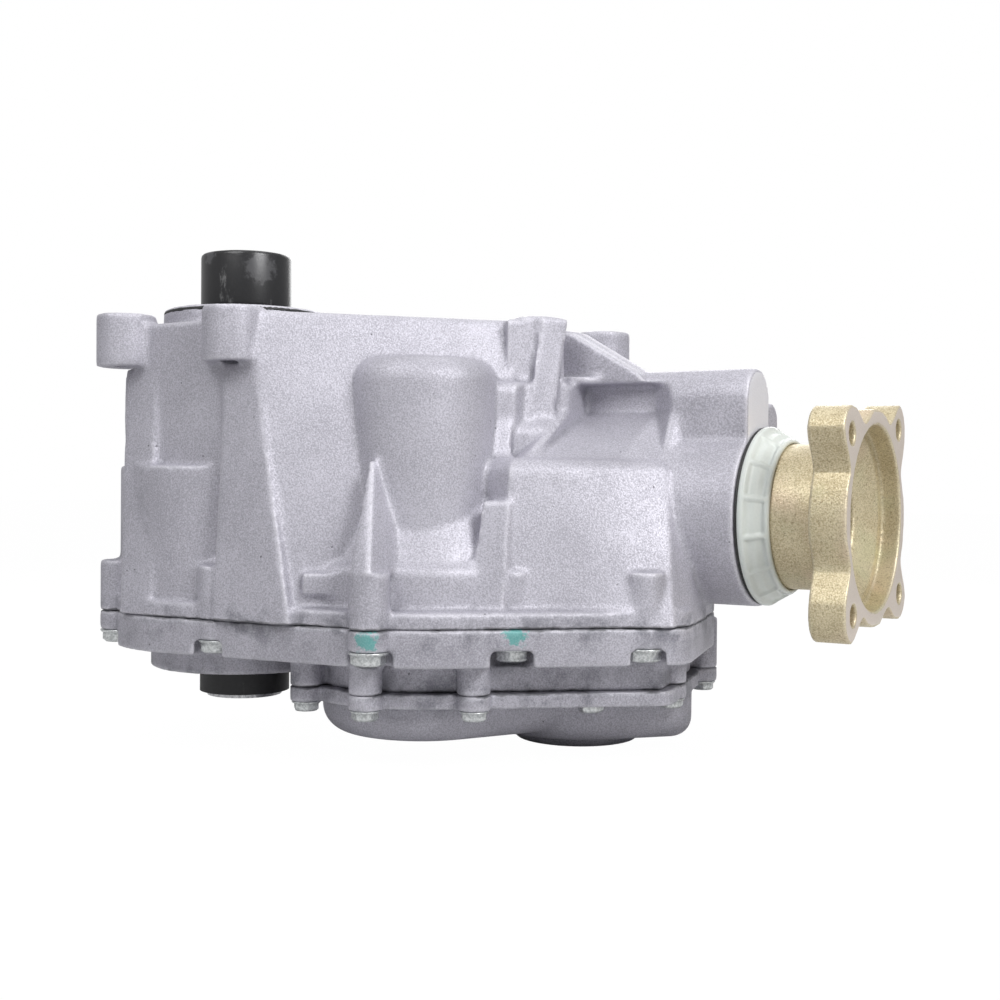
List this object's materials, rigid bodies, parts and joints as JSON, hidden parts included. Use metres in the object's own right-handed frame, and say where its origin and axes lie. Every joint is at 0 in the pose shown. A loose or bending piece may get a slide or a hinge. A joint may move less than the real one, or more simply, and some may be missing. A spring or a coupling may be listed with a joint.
{
  "type": "transfer case",
  "caption": "Cast aluminium transfer case with capped hollow input shaft, gearbox lugs, spur gear train, bevel pair and a four-hole output flange.",
  "frame": {"origin": "on the input shaft's axis, in the face that is bolted to the gearbox", "axes": "+Z along the input axis towards the gearbox, +X along the output shaft out of its flange, +Y to the rear wall"},
  "size_m": [0.3429, 0.2248, 0.2279],
  "materials": {
    "cast_housing": "sand cast aluminium, matt and fine grained",
    "cast_cover": "die cast aluminium, matt, grimy at the joints",
    "zinc_bolts": "bright zinc plated steel",
    "yellow_zinc": "yellow passivated zinc on forged steel",
    "steel": "ground and oiled steel",
    "seal_rubber": "matt black rubber",
    "black_plastic": "moulded black plastic",
    "white_plastic": "translucent natural white plastic",
    "soft_washer": "soft aluminium sealing washer"
  },
  "bodies": {
    "case": {"main_housing": "cast_housing", "middle_cover": "cast_cover", "lower_cover": "cast_cover", "middle_cover_bolts": "zinc_bolts", "lower_cover_bolts": "zinc_bolts", "dowel_pins": "steel", "bearing_shims": "steel", "input_bearing_outer_races": "steel", "idler_bearing_cups": "steel", "ring_bearing_cups": "steel", "pinion_bearing_cups": "steel", "input_oil_seal": "seal_rubber", "half_shaft_seal": "seal_rubber", "output_oil_seal": "seal_rubber", "spigot_o_ring": "seal_rubber", "filler_plug": "zinc_bolts", "drain_plug": "zinc_bolts", "plug_washers": "soft_washer", "breather": "black_plastic"},
    "input": {"input_shaft": "steel", "input_gear": "steel", "input_bearing_inner_races": "steel"},
    "idler": {"idler_shaft": "steel", "idler_gear": "steel", "idler_bearing_cones": "steel"},
    "ring": {"ring_gear_shaft": "steel", "driven_gear": "steel", "ring_gear": "steel", "ring_bearing_cones": "steel"},
    "output": {"pinion_shaft": "steel", "pinion_bearing_cones": "steel", "pinion_spacer": "steel", "output_flange": "yellow_zinc", "dust_deflector": "white_plastic", "pinion_nut": "zinc_bolts", "pinion_washer": "steel"},
    "cap": {"dust_cap": "black_plastic"}
  },
  "joints": [
    {"name": "input_spin", "type": "hinge", "parent": "case", "child": "input", "pos_m": [0, 0, 0], "axis": [0, 0, 1], "continuous": true},
    {"name": "idler_spin", "type": "hinge", "parent": "case", "child": "idler", "pos_m": [0.09086, 0.01733, 0], "axis": [0, 0, 1], "continuous": true},
    {"name": "ring_spin", "type": "hinge", "parent": "case", "child": "ring", "pos_m": [0.13502, 0.08404, 0], "axis": [0, 0, 1], "continuous": true},
    {"name": "output_spin", "type": "hinge", "parent": "case", "child": "output", "pos_m": [0.278, 0.08404, -0.0884], "axis": [1, 0, 0], "continuous": true},
    {"name": "cap_pull", "type": "slide", "parent": "input", "child": "cap", "axis": [0, 0, 1], "range_m": [0, 0.03]}
  ],
  "couplings": [
    {"joint": "idler_spin", "follows": "input_spin", "ratio": -0.94737},
    {"joint": "ring_spin", "follows": "input_spin", "ratio": 1.3846},
    {"joint": "output_spin", "follows": "input_spin", "ratio": 4.1538}
  ]
}
